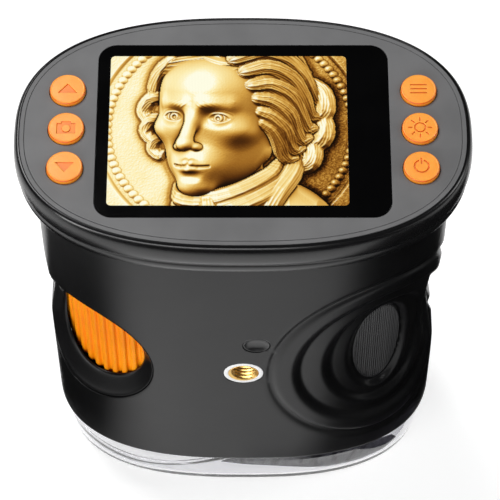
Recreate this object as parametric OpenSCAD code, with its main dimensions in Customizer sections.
/* [Body] */
// Height from the table to the top panel
total_h = 114.5; // [105:0.5:130]
// How far the body's ends lie inside the panel's edge
body_in_x = 2.35; // [1.8:0.05:3]
// How far the body's front and back lie inside the panel's edge
body_in_y = 1.8; // [1.4:0.05:2.4]
// Squareness of the body's oval, 2 is an ellipse
body_n = 2.6; // [2.2:0.1:3.2]
// Wall thickness of the two shells
wall = 2.2; // [1.8:0.1:3]
// Height at which the black shells end and the clear base begins
body_bottom = 15.5; // [13:0.5:22]

/* [Head] */
// Width of the panel outside the buttons
panel_end = 5.9; // [5.6:0.1:8]
// Width of the panel before and behind the glass
panel_side = 6.57; // [6:0.01:8]
// Squareness of the panel's oval
panel_n = 2.5; // [2.2:0.1:3]
// Thickness of the top panel
panel_t = 2; // [1.5:0.1:3]
// How far the head ring stands out past the panel
ring_out = 1.35; // [0.8:0.05:2.5]
// Height of the head ring
ring_h = 10.9; // [9:0.1:14]
// Height of the ledge that carries the panel
ledge_h = 2.7; // [2:0.1:4]

/* [Screen] */
// Width of the cover glass
glass_w = 60.1; // [50:0.1:62]
// Depth of the cover glass
glass_d = 42.26; // [34:0.1:44]
// Corner radius of the cover glass
glass_r = 3.8; // [2:0.1:6]
// Thickness of the display module
lcd_t = 2.6; // [2:0.1:2.8]
// Width of the lit picture
picture_w = 48.96; // [40:0.02:52]
// Depth of the lit picture
picture_d = 36.72; // [30:0.02:38]
// Distance of the picture's centre from the middle of the glass, to the left
picture_shift = 3.05; // [0:0.05:4]

/* [Buttons] */
// Diameter of a button cap
button_d = 7.4; // [6:0.1:8]
// Space between the glass and the buttons
button_space = 2.5; // [2.2:0.1:4]
// Distance between two buttons of a column
button_pitch = 9.5; // [9:0.1:10.5]
// How far a cap stands above the panel
button_proud = 0.9; // [0.7:0.1:1.4]
// Travel of a button
button_travel = 0.6; // [0.4:0.1:0.6]

/* [Focus wheel] */
// Radius of the wheel over its ribs
wheel_r = 21; // [19.5:0.1:21.2]
// How deep the wheel lies inside the body's end
wheel_in = 3; // [2.9:0.1:3.2]
// Height of the wheel
wheel_h = 32; // [30:1:34]
// Height of the wheel's lower edge above the table
wheel_z = 42; // [40:0.5:44]
// Number of grip ribs round the wheel
rib_count = 54; // [40:1:72]
// Depth of a grip rib
rib_depth = 0.8; // [0.4:0.1:1.2]
// Turn of the wheel from its middle position to either stop, in degrees
wheel_turn = 135; // [90:5:150]

/* [Lens] */
// Outer radius of the lens barrel
barrel_r = 7.9; // [7:0.1:8.2]
// Wall of the lens barrel
barrel_wall = 1.5; // [1:0.1:2]
// Height of the lens barrel
barrel_h = 41.5; // [36:0.5:42]
// Travel of the lens from its middle position to either stop
lens_travel = 3; // [2:0.5:3.5]
// Wall of the guide tube round the barrel
guide_wall = 2.5; // [2:0.1:3]

/* [Clear base] */
// Wall of the clear base
base_wall = 2.2; // [1.6:0.1:3]
// Thickness of its floor
base_floor = 1.8; // [1.2:0.1:2.5]
// Radius of the round viewing hole in the floor
well_r = 17.5; // [14:0.5:18]
// Height of the collar round the viewing hole
well_h = 5; // [3:0.5:8]

/* [Grips and fittings] */
// Half height of the ripple grip
grip_h = 34; // [28:0.5:35]
// Depth of one ripple step
grip_step = 0.9; // [0.5:0.1:1]
// Radius of the tapped bore in the tripod bush, the minor radius of a quarter inch thread
bush_bore_r = 2.6; // [2.55:0.05:2.7]
// Outer radius of the collar round the tripod bush
collar_r = 4.35; // [4:0.05:5]
// Length of the tripod bush
bush_l = 7.5; // [6:0.1:8]
// Height of the tripod bush above the table
bush_z = 57.3; // [50:0.1:62]
// Radius of the round plug beside the bush
plug_r = 2.9; // [2:0.1:3.2]

/* [Inside] */
// Radius of the rechargeable cell
cell_r = 9.2; // [8:0.1:9.4]
// Height of the rechargeable cell
cell_h = 65; // [50:1:66]
// Thickness of the circuit boards
board_t = 1.6; // [1:0.1:2]
// Number of lamps in the light ring
lamp_count = 8; // [6:1:12]

/* [Hidden] */

black = "#262628";
ink = "#1b1b1d";
dark_grey = "#4a4a4d";
orange = "#f58a1f";
board_green = "#1f6b45";
metal = "#b9bcc2";
brass = "#c79a3a";
pale = "#ecebe6";
clear = "#dfe9ee";
blue = "#3f7fbf";

oval_points = 96;        // corners of every oval outline
zone_points = 48;        // corners of an outline drawn on the wall
fine = 64;               // segments of a round piece
smooth = 240;            // segments of a wide, shallow surface
overlap = 0.1;           // how far two pieces of one solid run into each other
fit_gap = 0.15;          // clearance between a fixed piece and its seat
run_gap = 0.08;          // radial clearance of a running fit
air = 0.6;               // room round a moving piece
cut = 1;                 // how far a cutter runs past the face it cuts
far = 8;                 // how far a wall cutter starts outside the wall
deep = 9;                // how far a wall cutter reaches inside the wall

// Each quarter of a superellipse follows x = a cos^(2/n), y = b sin^(2/n)
function signed_power(v, p) = sign(v) * pow(abs(v), p);
function oval_at(a, b, n, angle) =
    [a * signed_power(cos(angle), 2 / n), b * signed_power(sin(angle), 2 / n)];
function oval(a, b, n) =
    [for (i = [0 : oval_points - 1]) oval_at(a, b, n, 360 * i / oval_points)];

module oval_prism(a, b, n, z0, z1)
    translate([0, 0, z0]) linear_extrude(z1 - z0) polygon(oval(a, b, n));

module body_prism(inset, z0, z1) oval_prism(body_a - inset, body_b - inset, body_n, z0, z1);

// The middle of a ring of points
function middle(ring) = [for (k = [0 : 2]) [for (p = ring) p[k]] * [for (p = ring) 1] / len(ring)];

// A closed skin through rings of points, each ring with the same number of points
module skin(rings) {
    count = len(rings[0]);
    last = (len(rings) - 1) * count;
    sides = [for (r = [0 : count : last - 1], i = [0 : count - 1])
        let (j = (i + 1) % count)
        each [[r + i, r + count + i, r + j], [r + j, r + count + i, r + count + j]]];
    first_cap = [for (i = [0 : count - 1]) [last + count, i, (i + 1) % count]];
    last_cap = [for (i = [0 : count - 1]) [last + count + 1, last + (i + 1) % count, last + i]];
    points = [for (ring = rings) each ring];
    ends = [middle(rings[0]), middle(rings[len(rings) - 1])];
    polyhedron(concat(points, ends), concat(sides, first_cap, last_cap));
}

// A stack of ovals: profile holds [height, growth] of each level
module oval_stack(a, b, n, profile)
    skin([for (level = profile)
        [for (p = oval(a + level[1], b + level[1], n)) [p[0], p[1], level[0]]]]);

// An oval outline drawn on the body's wall, round the middle [angle, height], moved inwards by inset
function wall_ring(inset, centre, half_angle, half_height) =
    [for (i = [0 : zone_points - 1])
        let (t = 360 * i / zone_points,
            p = oval_at(body_a - inset, body_b - inset, body_n, centre[0] + half_angle * cos(t)))
        [p[0], p[1], centre[1] + half_height * sin(t)]];

// Everything behind and before such an outline, straight through the wall
module wall_zone(centre, half_angle, half_height)
    skin([for (inset = [deep, -far]) wall_ring(inset, centre, half_angle, half_height)]);

module tube(outer, inner, z0, z1)
    difference() {
        translate([0, 0, z0]) cylinder(r = outer, h = z1 - z0, $fn = fine);
        translate([0, 0, z0 - cut]) cylinder(r = inner, h = z1 - z0 + 2 * cut, $fn = fine);
    }

module round_rod(r, z0, z1) translate([0, 0, z0]) cylinder(r = r, h = z1 - z0, $fn = fine);

module block(w, d, z0, z1) translate([-w / 2, -d / 2, z0]) cube([w, d, z1 - z0]);

// A plate with round corners
module rounded_plate(w, d, r, z0, z1) {
    block(w - 2 * r, d, z0, z1);
    block(w, d - 2 * r, z0, z1);
    for (sx = [-1, 1], sy = [-1, 1])
        translate([sx * (w / 2 - r), sy * (d / 2 - r), 0]) round_rod(r, z0, z1);
}

// Something on the front wall: its own axis points out of the wall
module on_front(x, z) translate([x, -body_b, z]) rotate([90, 0, 0]) children();

/* ---- plan sizes, from the glass outwards ---- */
button_x = glass_w / 2 + button_space + button_d / 2;
panel_a = button_x + button_d / 2 + panel_end;
panel_b = glass_d / 2 + panel_side;
body_a = panel_a - body_in_x;
body_b = panel_b - body_in_y;

/* ---- heights, from the top down ---- */
panel_z = total_h - panel_t;
shell_top = panel_z - ledge_h;
lcd_z = panel_z - lcd_t;
spacer_t = 1.7;                        // foam between the display and the board
board_top = lcd_z - spacer_t;
board_z = board_top - board_t;
tongue_h = 4.5;                        // how far the base reaches up inside the shells
frame_z = body_bottom + tongue_h;
frame_t = 2.5;
frame_top = frame_z + frame_t;
frame_gap = 0.4;                       // between the frame and the shells

/* ---- screws ---- */
screw_r = 1.1;
screw_head_r = 2;
screw_head_t = 1.2;
thread_gap = 0.06;                     // between a screw and its hole in the plastic
// The screws' places: two in the middle, two near the grip's end
screw_places = [[0, body_b - 5.9], [body_a - 14.5, body_b - 10.4]];
screw_boss_r = 4;
screw_boss_h = 13.5;
screw_short = 3;                       // room left beyond a screw's tip
board_screw_in_x = 18.5;
board_screw_in_y = 7.5;
board_screw_x = body_a - board_screw_in_x;
board_screw_y = body_b - board_screw_in_y;
board_boss_r = 3.2;
board_boss_h = 9;

module at_base_screws()
    for (place = screw_places, side = [-1, 1]) translate([place[0], side * place[1], 0]) children();

module at_board_screws()
    for (sx = [-1, 1], sy = [-1, 1])
        translate([sx * board_screw_x, sy * board_screw_y, 0]) children();

/* ---- hollows of the two shells ---- */
wheel_mid = wheel_z + wheel_h / 2;
grip_z = wheel_mid;
// Each ripple: middle and half width in oval degrees, share of the grip's height
ripples = [[-41.5, 44.5, 1], [-42.2, 37.2, 0.81], [-45, 26, 0.64]];
grip_floor = len(ripples) * grip_step;
grip_lean = 2.2;                       // how much deeper the ripples lie at the body's end
pad_middle = [-50, grip_z];
pad_angle = 10.5;
pad_high = 0.46;                       // share of the grip's height
pad_seat = 0.6;                        // how deep the pad sits in its seat
pad_t = 1.6;
window_low = 1.5;                      // how far the window's middle lies below the wheel's
window_half = [33.7, 20];
window_middle = [-142.8, wheel_mid - window_low];
opening_high = 0.2;
opening_half = [24.7, 13.4];
opening_middle = [-137.5, wheel_mid + opening_high];
window_lip = 0.6;                      // how far the window's slope is drawn past the wall
dip_high = 5.5;                        // the finger dip lies above the wheel's middle
dip_z = wheel_mid + dip_high;
dip_depth = 1.5;
dip_half = 14.5;
hollow_depth = 2.5;                    // the palm hollow in the grip's end
hollow_half = 22;
wheel_x = wheel_in + wheel_r - body_a;
ledge_w = 1.8;                         // rest for the main board
ledge_t = 1.6;

// A shallow round dip across one end of the body
module end_dip(side, depth, half, z) {
    r = (pow(half, 2) + pow(depth, 2)) / (2 * depth);
    translate([side * (body_a - depth + r), body_b + cut, z])
        rotate([90, 0, 0]) cylinder(r = r, h = 2 * (body_b + cut), $fn = smooth);
}

// The slanted way through the wall to the wheel, wider outside
module wheel_window() {
    spread = 1 + window_lip / wall;
    lip_middle = opening_middle + (window_middle - opening_middle) * spread;
    lip_half = opening_half + (window_half - opening_half) * spread;
    skin([
        wall_ring(deep, opening_middle, opening_half[0], opening_half[1]),
        wall_ring(wall, opening_middle, opening_half[0], opening_half[1]),
        wall_ring(-window_lip, lip_middle, lip_half[0], lip_half[1]),
        wall_ring(-far, lip_middle, lip_half[0], lip_half[1])]);
}

module ripple_zone(k)
    wall_zone([ripples[k][0], grip_z], ripples[k][1], grip_h * ripples[k][2]);

// What lies inside a ripple's floor, at a given depth below the wall
module below_grip(depth, z0, z1) translate([-grip_lean, 0, 0]) body_prism(depth, z0, z1);

// The wall thickened from inside, behind the ripples and the palm hollow
module grip_backing()
    intersection() {
        union() {
            ripple_zone(0);
            translate([body_a, 0, 0])
                block(2 * deep, body_b, grip_z - hollow_half, grip_z + hollow_half);
        }
        difference() {
            body_prism(wall / 2, frame_top, shell_top);
            below_grip(wall + grip_floor + pad_seat, body_bottom, shell_top + cut);
        }
    }

module grip_cuts() {
    for (k = [0 : len(ripples) - 1])
        difference() {
            ripple_zone(k);
            below_grip((k + 1) * grip_step, 0, total_h);
        }
    difference() {
        wall_zone(pad_middle, pad_angle, grip_h * pad_high);
        below_grip(grip_floor + pad_seat, 0, total_h);
    }
}

// The front half, with all that both halves share
module shell_half()
    difference() {
        union() {
            difference() {
                body_prism(0, body_bottom, shell_top);
                body_prism(wall, body_bottom - cut, shell_top + cut);
            }
            grip_backing();
            difference() {
                body_prism(wall / 2, board_z - ledge_t, board_z);
                body_prism(wall + ledge_w, board_z - ledge_t - cut, board_z + cut);
            }
            intersection() {
                body_prism(wall / 2, body_bottom, shell_top);
                union() {
                    at_base_screws() round_rod(screw_boss_r, frame_top, frame_top + screw_boss_h);
                    at_board_screws() round_rod(board_boss_r, board_z - board_boss_h, board_z);
                }
            }
        }
        translate([-total_h, 0, 0]) cube([2 * total_h, total_h, 2 * total_h]);
        end_dip(-1, dip_depth, dip_half, dip_z);
        end_dip(1, hollow_depth, hollow_half, grip_z);
        translate([wheel_x, 0, 0]) round_rod(wheel_r + air, wheel_z - air, wheel_z + wheel_h + air);
        wheel_window();
        grip_cuts();
        at_base_screws() round_rod(screw_r + thread_gap, frame_z, frame_top + screw_boss_h - cut);
        at_board_screws() round_rod(screw_r + thread_gap, board_z - board_boss_h + cut, board_z + cut);
    }

/* ---- fittings of the front shell ---- */
bush_boss_r = 5.6;
bush_floor = 1.2;
collar_t = 2.4;
collar_wall = 1;
plug_x = 2.8;
plug_high = 12.3;
plug_z = bush_z + plug_high;
plug_sunk = 0.3;

module front_shell()
    color(black) difference() {
        union() {
            shell_half();
            on_front(0, bush_z) round_rod(bush_boss_r, -bush_l - bush_floor, -wall / 2);
        }
        on_front(0, bush_z) {
            round_rod(collar_r - collar_wall, -bush_l, cut);
            round_rod(collar_r, -collar_t, cut);
        }
        on_front(plug_x, plug_z) round_rod(plug_r, -wall - cut, cut);
    }

module tripod_bush()
    color(brass) on_front(0, bush_z) tube(collar_r - collar_wall, bush_bore_r, -bush_l, 0);

module tripod_collar()
    color(pale) on_front(0, bush_z) tube(collar_r, collar_r - collar_wall, -collar_t, 0);

module round_plug() color(black) on_front(plug_x, plug_z) round_rod(plug_r, -wall, -plug_sunk);

module grip_pad()
    intersection() {
        wall_zone(pad_middle, pad_angle, grip_h * pad_high);
        difference() {
            below_grip(grip_floor + pad_seat - pad_t, 0, total_h);
            below_grip(grip_floor + pad_seat, -cut, total_h + cut);
        }
    }

module front_grip_pad() color(dark_grey) grip_pad();

module rear_grip_pad() color(dark_grey) mirror([0, 1, 0]) grip_pad();

/* ---- sockets in the rear shell ---- */
io_x = -5;
io_w = 26;
io_d = 17;
io_back = 4.4;                         // from the wall's outer face to the board
io_low = 15.4;                         // from the main board down to the socket board
io_top = board_z - io_low;
io_z = io_top - board_t;
io_rest_w = 4;
io_rest_d = 9;
io_rest_t = 3;
usb_w = 8.94;
usb_h = 3.26;
usb_l = 7.8;
usb_wall = 0.3;
usb_out = 1.2;                         // how deep the socket's mouth lies in the wall
card_w = 14;
card_h = 1.9;
card_l = 14;
card_wall = 0.3;
card_gap = 0.6;                        // between the card socket and the wall
slot_w = 11.4;
slot_h = 1.2;
slot_z = io_z - card_h + card_wall;

// A flat bar with round edges, lying along Y
module flat_bar(w, h, l, z0)
    translate([0, 0, z0 + h / 2]) rotate([90, 0, 0]) {
        translate([0, 0, -l / 2]) linear_extrude(l) square([w - h, h], center = true);
        for (sx = [-1, 1]) translate([sx * (w - h) / 2, 0, 0]) round_rod(h / 2, -l / 2, l / 2);
    }

module rear_shell()
    color(black) difference() {
        union() {
            mirror([0, 1, 0]) shell_half();
            intersection() {
                body_prism(wall / 2, io_z - io_rest_t, io_z);
                for (sx = [-1, 1])
                    translate([io_x + sx * (io_w - io_rest_w) / 2, body_b - io_rest_d / 2, 0])
                        block(io_rest_w, io_rest_d, io_z - io_rest_t, io_z);
            }
        }
        translate([io_x, body_b, io_top])
            flat_bar(usb_w + 2 * fit_gap, usb_h + 2 * fit_gap, 4 * wall, -fit_gap);
        translate([io_x, body_b, 0]) block(slot_w, 4 * wall, slot_z, slot_z + slot_h);
    }

module io_board()
    color(board_green) translate([io_x, body_b - io_back - io_d / 2, 0])
        block(io_w, io_d, io_z, io_top);

module usb_socket()
    color(metal) translate([io_x, body_b - usb_out - usb_l / 2, io_top]) difference() {
        flat_bar(usb_w, usb_h, usb_l, 0);
        translate([0, cut, 0])
            flat_bar(usb_w - 2 * usb_wall, usb_h - 2 * usb_wall, usb_l, usb_wall);
    }

module card_socket()
    color(metal) translate([io_x, body_b - wall - card_gap - card_l / 2, 0]) difference() {
        block(card_w, card_l, io_z - card_h, io_z);
        translate([0, cut, 0]) block(slot_w, card_l, slot_z, slot_z + slot_h);
    }

/* ---- the head ---- */
ring_bottom = total_h - ring_h;
// Height and growth of the two soft rolls, as shares of the ring's height and of its reach
ring_rolls = [[0, -0.3], [0.06, 0.12], [0.18, 0.45], [0.33, 0.7], [0.44, 0.72], [0.52, 0.86],
    [0.66, 1], [0.82, 0.92], [0.94, 0.6], [1, 0.2]];
ledge_in = 2.65;                       // how far the panel's ledge reaches inwards
lcd_edge = 0.2;
lcd_w = glass_w + 2 * lcd_edge;
lcd_d = glass_d + 2 * lcd_edge;
picture_t = 0.9;
spacer_w = 52;
spacer_d = 31;
spacer_edge = 3;

module head_ring()
    color(black) difference() {
        oval_stack(panel_a, panel_b, panel_n,
            [for (p = ring_rolls) [ring_bottom + p[0] * ring_h, p[1] * ring_out]]);
        oval_prism(panel_a + fit_gap, panel_b + fit_gap, panel_n, panel_z, total_h + cut);
        oval_prism(panel_a - ledge_in, panel_b - ledge_in, panel_n, shell_top - cut, total_h);
        block(lcd_w + 2 * fit_gap, lcd_d + 2 * fit_gap, shell_top - cut, total_h);
        body_prism(-fit_gap, ring_bottom - cut, shell_top);
    }

module at_buttons(k) {
    side = k < 3 ? -1 : 1;
    row = 1 - k % 3;
    translate([side * button_x, row * button_pitch, 0]) children();
}

module top_panel()
    color(dark_grey) difference() {
        oval_prism(panel_a, panel_b, panel_n, panel_z, total_h);
        rounded_plate(glass_w + 2 * fit_gap, glass_d + 2 * fit_gap, glass_r,
            panel_z - cut, total_h + cut);
        for (k = [0 : 5]) at_buttons(k) round_rod(button_d / 2 + fit_gap, panel_z - cut, total_h + cut);
    }

module cover_glass() color(ink) rounded_plate(glass_w, glass_d, glass_r, panel_z, total_h);

module lcd_module()
    color(metal) difference() {
        block(lcd_w, lcd_d, lcd_z, panel_z);
        translate([-picture_shift, 0, 0])
            block(picture_w, picture_d, panel_z - picture_t, panel_z + cut);
    }

module picture_plate()
    color(brass) translate([-picture_shift, 0, 0])
        block(picture_w, picture_d, panel_z - picture_t, panel_z);

module lcd_spacer()
    color(pale) difference() {
        block(spacer_w, spacer_d, board_top, lcd_z);
        block(spacer_w - 2 * spacer_edge, spacer_d - 2 * spacer_edge, board_top - cut, lcd_z + cut);
    }

/* ---- the main board ---- */
// Each chip: place, width, depth and height
chips = [[-6, 7, 12, 12, 1.2], [12, 6, 8, 9, 1], [4, -9, 6, 6, 2.6]];
switch_w = 4;
switch_h = 2;
switch_floor = 0.3;
plunger_r = 1.1;
flange_t = 0.8;
flange_out = 0.6;
stem_r = 1.5;
stem_h = 0.5;
button_gap = 0.1;
button_edge = 0.4;                     // chamfer round the top of a cap
flange_top = panel_z - button_gap;
flange_z = flange_top - flange_t;
stem_z = flange_z - stem_h;
cap_top = total_h + button_proud;

module main_board()
    color(board_green) difference() {
        body_prism(wall + fit_gap, board_z, board_top);
        at_board_screws() round_rod(screw_r + fit_gap, board_z - cut, board_top + cut);
    }

module board_chips()
    color(ink) for (chip = chips)
        translate([chip[0], chip[1], 0]) block(chip[2], chip[3], board_z - chip[4], board_z);

module board_screws()
    color(metal) at_board_screws() {
        round_rod(screw_r, board_z - board_boss_h + screw_short, board_top);
        round_rod(screw_head_r, board_top, board_top + screw_head_t);
    }

module switch_housings()
    color(ink) for (k = [0 : 5]) at_buttons(k) difference() {
        block(switch_w, switch_w, board_top, board_top + switch_h);
        round_rod(plunger_r + run_gap, board_top + switch_floor, board_top + switch_h + cut);
    }

module button(k)
    color(orange) at_buttons(k) {
        round_rod(button_d / 2, flange_z, cap_top - button_edge);
        translate([0, 0, cap_top - button_edge])
            cylinder(r1 = button_d / 2, r2 = button_d / 2 - button_edge, h = button_edge, $fn = fine);
        round_rod(button_d / 2 + flange_out, flange_z, flange_top);
        round_rod(stem_r, stem_z, flange_z);
    }

module plunger(k)
    color(brass) at_buttons(k)
        round_rod(plunger_r, board_top + switch_floor + button_travel + button_gap, stem_z);

/* ---- power ---- */
cell_in = 21.5;                        // from the body's end to the cell's axis
cell_x = body_a - cell_in;
cell_lift = 4.5;                       // floor of the holder under the cell
cell_z = frame_top + cell_lift;
holder_w = 21;
holder_end = 3;

module cell() color(blue) translate([cell_x, 0, 0]) round_rod(cell_r, cell_z, cell_z + cell_h);

module cell_holder()
    color(ink) translate([cell_x, 0, 0]) difference() {
        block(holder_w, holder_w, frame_top, cell_z + cell_h + holder_end);
        round_rod(cell_r + fit_gap, cell_z, cell_z + cell_h + fit_gap);
        translate([cell_r / 2, -holder_w, cell_z]) cube([holder_w, 2 * holder_w, cell_h + fit_gap]);
    }

/* ---- focus ---- */
guide_in = barrel_r + run_gap;
guide_r = guide_in + guide_wall;
guide_over = 2;                        // how far the guide tube stands above the wheel
guide_top = wheel_z + wheel_h + guide_over;
shoulder_w = 2.5;                      // the step that carries the wheel
shoulder_r = guide_r + shoulder_w;
seat_gap = 0.2;                        // play of the wheel along its axis
cam_in = guide_r + run_gap;
cam_wall = 2.9;
cam_r = cam_in + cam_wall;
cam_z = wheel_z + seat_gap;
cam_short = 3.8;                       // how far the cam ends below the wheel's top
cam_top = wheel_z + wheel_h - cam_short;
clip_t = 1;
clip_z = cam_top + seat_gap;
clip_groove = 0.6;
clip_edge = 0.6;                       // how far the clip stays inside the cam's edge
pin_r = 0.9;
pin_z = (cam_z + cam_top) / 2;
groove_gap = 0.3;
groove_depth = 2.1;
groove_r = cam_in + groove_depth;
groove_h = 2 * (pin_r + groove_gap);
lead = lens_travel * 360 / wheel_turn; // rise of the cam's grooves in one turn
groove_steps = 20;
groove_end = 6;                        // degrees of groove beyond the pin's last place
hub_wall = 1.8;
rim_t = 1.4;
web_t = 2.5;                           // disc between the hub and the rim
rim_r = wheel_r - rib_depth;
rib_share = 0.55;                      // part of the rim taken up by ribs
rib_w = 2 * PI * wheel_r / rib_count * rib_share;
rib_end = 1;                           // how far a rib ends before the rim's edge
rib_root = 0.3;                        // how far a rib stands inside the rim

module optics_frame()
    color(dark_grey) difference() {
        union() {
            body_prism(wall + frame_gap, frame_z, frame_top);
            translate([wheel_x, 0, 0]) {
                round_rod(shoulder_r, frame_z, wheel_z);
                round_rod(guide_r, frame_z, guide_top);
            }
        }
        translate([wheel_x, 0, 0]) {
            round_rod(guide_in, frame_z - cut, guide_top + cut);
            block(2 * (guide_r + cut), groove_h,
                pin_z - lens_travel - groove_h / 2, pin_z + lens_travel + groove_h / 2);
            tube(guide_r + cut, guide_r - clip_groove, clip_z, clip_z + clip_t);
        }
        at_base_screws() round_rod(screw_r + fit_gap, frame_z - cut, frame_top + cut);
    }

module focus_wheel()
    color(orange) translate([wheel_x, 0, 0]) {
        tube(cam_r + hub_wall, cam_r, cam_z, cam_top);
        tube(rim_r - rim_t + overlap, cam_r + hub_wall - overlap, pin_z - web_t / 2, pin_z + web_t / 2);
        tube(rim_r, rim_r - rim_t, wheel_z, wheel_z + wheel_h);
        for (k = [0 : rib_count - 1]) rotate([0, 0, 360 * k / rib_count])
            translate([rim_r - rib_root, -rib_w / 2, wheel_z + rib_end])
                cube([rib_depth + rib_root, rib_w, wheel_h - 2 * rib_end]);
    }

// One of the cam's two rising grooves, made of short straight runs
module cam_groove() {
    half = wheel_turn + groove_end;
    step = 2 * half / groove_steps;
    run = 2 * groove_r * tan(step / 2) + overlap;
    slope = atan(lead / (2 * PI * groove_r));
    for (k = [0 : groove_steps - 1]) {
        angle = -half + (k + 0.5) * step;
        rotate([0, 0, angle]) translate([cam_in - cut, 0, -lead * angle / 360])
            rotate([-slope, 0, 0])
                translate([0, -run / 2, -groove_h / 2]) cube([groove_depth + cut, run, groove_h]);
    }
}

module focus_cam()
    color(pale) translate([wheel_x, 0, 0]) difference() {
        tube(cam_r, cam_in, cam_z, cam_top);
        for (start = [0, 180]) translate([0, 0, pin_z]) rotate([0, 0, start]) cam_groove();
    }

module wheel_clip()
    color(metal) translate([wheel_x, 0, 0]) difference() {
        tube(cam_r - clip_edge, guide_r - clip_groove + run_gap, clip_z, clip_z + clip_t);
        translate([0, -guide_r, clip_z - cut]) cube([2 * guide_r, 2 * guide_r, clip_t + 2 * cut]);
    }

/* ---- lens ---- */
lens_r = barrel_r - barrel_wall;
lens_t = 3;
crown = 0.8;                           // how far a lens face bulges
seat_w = 1;
barrel_lift = 0.6;                     // the barrel's foot above the frame, in its middle position
barrel_z = frame_z + barrel_lift;
front_seat_h = 4.6;
rear_seat_h = 10;
front_seat = barrel_z + front_seat_h;
rear_seat = barrel_z + barrel_h - rear_seat_h;
stop_hole_r = 2;
stop_t = 0.8;
retainer_t = 1.2;

module lens_barrel()
    color(ink) translate([wheel_x, 0, 0]) difference() {
        round_rod(barrel_r, barrel_z, barrel_z + barrel_h);
        round_rod(lens_r - seat_w, barrel_z - cut, barrel_z + barrel_h + cut);
        round_rod(lens_r, barrel_z - cut, front_seat);
        round_rod(lens_r, front_seat + seat_w, rear_seat - seat_w);
        round_rod(lens_r, rear_seat, barrel_z + barrel_h + cut);
        translate([0, 0, pin_z]) rotate([0, 90, 0]) round_rod(pin_r, -barrel_r - cut, barrel_r + cut);
    }

// A lens with two crowned faces
module lens(z0) {
    ball = (pow(lens_r, 2) + pow(crown, 2)) / (2 * crown);
    translate([wheel_x, 0, 0]) intersection() {
        round_rod(lens_r, z0, z0 + lens_t);
        translate([0, 0, z0 + ball]) sphere(r = ball, $fn = smooth);
        translate([0, 0, z0 + lens_t - ball]) sphere(r = ball, $fn = smooth);
    }
}

module front_lens() color(clear) lens(front_seat - lens_t);

module rear_lens() color(clear) lens(rear_seat);

module lens_stop()
    color(ink) translate([wheel_x, 0, 0])
        tube(lens_r, stop_hole_r, front_seat + seat_w, front_seat + seat_w + stop_t);

module lens_retainer()
    color(metal) translate([wheel_x, 0, 0])
        tube(lens_r, lens_r - seat_w, front_seat - lens_t - retainer_t, front_seat - lens_t);

module follower_pins()
    color(metal) translate([wheel_x, 0, pin_z]) for (side = [-1, 1])
        rotate([0, side * 90, 0]) round_rod(pin_r, lens_r - seat_w, groove_r - groove_gap);

/* ---- image sensor ---- */
sensor_board_w = 20;
sensor_w = 8;
sensor_t = 1.4;
flex_w = 6;
flex_t = 0.3;
flex_x = -5.5;                         // from the lens axis

module sensor_board()
    color(board_green) translate([wheel_x, 0, 0])
        block(sensor_board_w, sensor_board_w, guide_top, guide_top + board_t);

module image_sensor()
    color(ink) translate([wheel_x, 0, 0]) block(sensor_w, sensor_w, guide_top - sensor_t, guide_top);

module sensor_flex()
    color(brass) translate([wheel_x + flex_x, 0, 0])
        block(flex_w, flex_t, guide_top + board_t, board_z);

/* ---- light ---- */
light_space = 1.6;                     // between the barrel and the light board
light_edge = 2.5;                      // between the light board and the well's wall
light_in = barrel_r + light_space;
light_out = well_r - light_edge;
lamp_r = (light_in + light_out) / 2;
lamp_t = 0.8;
lamp_w = 3;
cover_drop = 4;                        // height of the light cover
cover_gap = 0.5;
cover_wall = 1;
cover_space = 0.7;
cover_hole = barrel_r + cover_space;

module light_board()
    color(pale) translate([wheel_x, 0, 0]) tube(light_out, light_in, frame_z - board_t, frame_z);

module lamps()
    color(pale) translate([wheel_x, 0, 0]) for (k = [0 : lamp_count - 1])
        rotate([0, 0, 360 * (k + 0.5) / lamp_count]) translate([lamp_r, 0, 0])
            block(lamp_w, lamp_w, frame_z - board_t - lamp_t, frame_z - board_t);

module light_cover()
    color(clear) translate([wheel_x, 0, 0]) difference() {
        round_rod(light_out + cover_gap + cover_wall, frame_z - cover_drop, frame_z);
        round_rod(light_out + cover_gap, frame_z - cover_drop + cover_wall, frame_z + cut);
        round_rod(cover_hole, frame_z - cover_drop - cut, frame_z);
    }

/* ---- clear base ---- */
base_in = 0.8;                         // how far the base stays inside the body's outline
base_slack = 0.8;                      // extra room for the wall's inward bend
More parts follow.
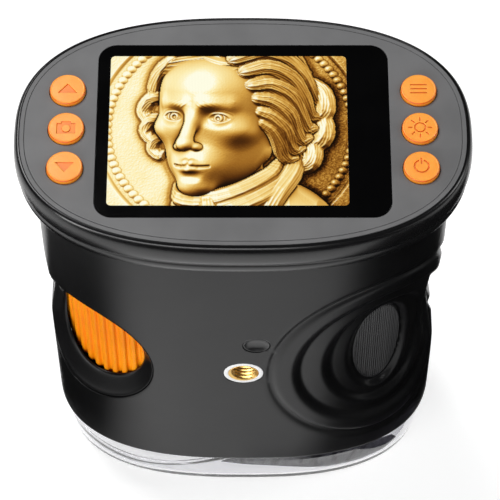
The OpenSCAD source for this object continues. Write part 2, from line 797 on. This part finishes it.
// Height and inward bend of the wall, as a share of its height and in millimetres
base_bend = [[0, -2.6], [0.05, -1.6], [0.16, -1], [0.5, -0.5], [1, 0]];
tongue_low = 3.5;                      // how far the tongue reaches down inside the base
tab_t = 2.5;
well_wall = 1.5;
well_foot = 0.2;                       // the collar's foot above the table

module clear_base()
    color(clear) difference() {
        union() {
            difference() {
                oval_stack(body_a - base_in, body_b - base_in, body_n,
                    [for (p = base_bend) [p[0] * body_bottom, p[1]]]);
                body_prism(base_in + base_wall + base_slack, base_floor, body_bottom + cut);
            }
            difference() {
                body_prism(wall + fit_gap, body_bottom - tongue_low, frame_z);
                body_prism(wall + fit_gap + base_wall, body_bottom - tongue_low - cut, frame_z + cut);
            }
            intersection() {
                body_prism(wall + fit_gap, body_bottom, frame_z);
                at_base_screws() round_rod(screw_boss_r, frame_z - tab_t, frame_z);
            }
            translate([wheel_x, 0, 0]) round_rod(well_r + well_wall, well_foot, well_h);
        }
        translate([wheel_x, 0, 0]) round_rod(well_r, -cut, well_h + cut);
        at_base_screws() {
            round_rod(screw_r + fit_gap, body_bottom - cut, frame_z + cut);
            round_rod(screw_head_r + fit_gap, base_floor, frame_z - tab_t);
        }
    }

module base_screws()
    color(metal) at_base_screws() {
        round_rod(screw_r, frame_z - tab_t, frame_top + screw_boss_h - screw_short);
        round_rod(screw_head_r, frame_z - tab_t - screw_head_t, frame_z - tab_t);
    }

front_shell();
rear_shell();
head_ring();
top_panel();
cover_glass();
lcd_module();
picture_plate();
lcd_spacer();
main_board();
board_chips();
board_screws();
switch_housings();
io_board();
usb_socket();
card_socket();
cell();
cell_holder();
optics_frame();
base_screws();
focus_wheel();
focus_cam();
wheel_clip();
lens_barrel();
front_lens();
rear_lens();
lens_stop();
lens_retainer();
follower_pins();
sensor_board();
image_sensor();
sensor_flex();
light_board();
lamps();
light_cover();
clear_base();
tripod_bush();
tripod_collar();
round_plug();
front_grip_pad();
rear_grip_pad();
button(0);  // button_up
button(1);  // button_camera
button(2);  // button_down
button(3);  // button_menu
button(4);  // button_light
button(5);  // button_power
plunger(0);  // plunger_up
plunger(1);  // plunger_camera
plunger(2);  // plunger_down
plunger(3);  // plunger_menu
plunger(4);  // plunger_light
plunger(5);  // plunger_power
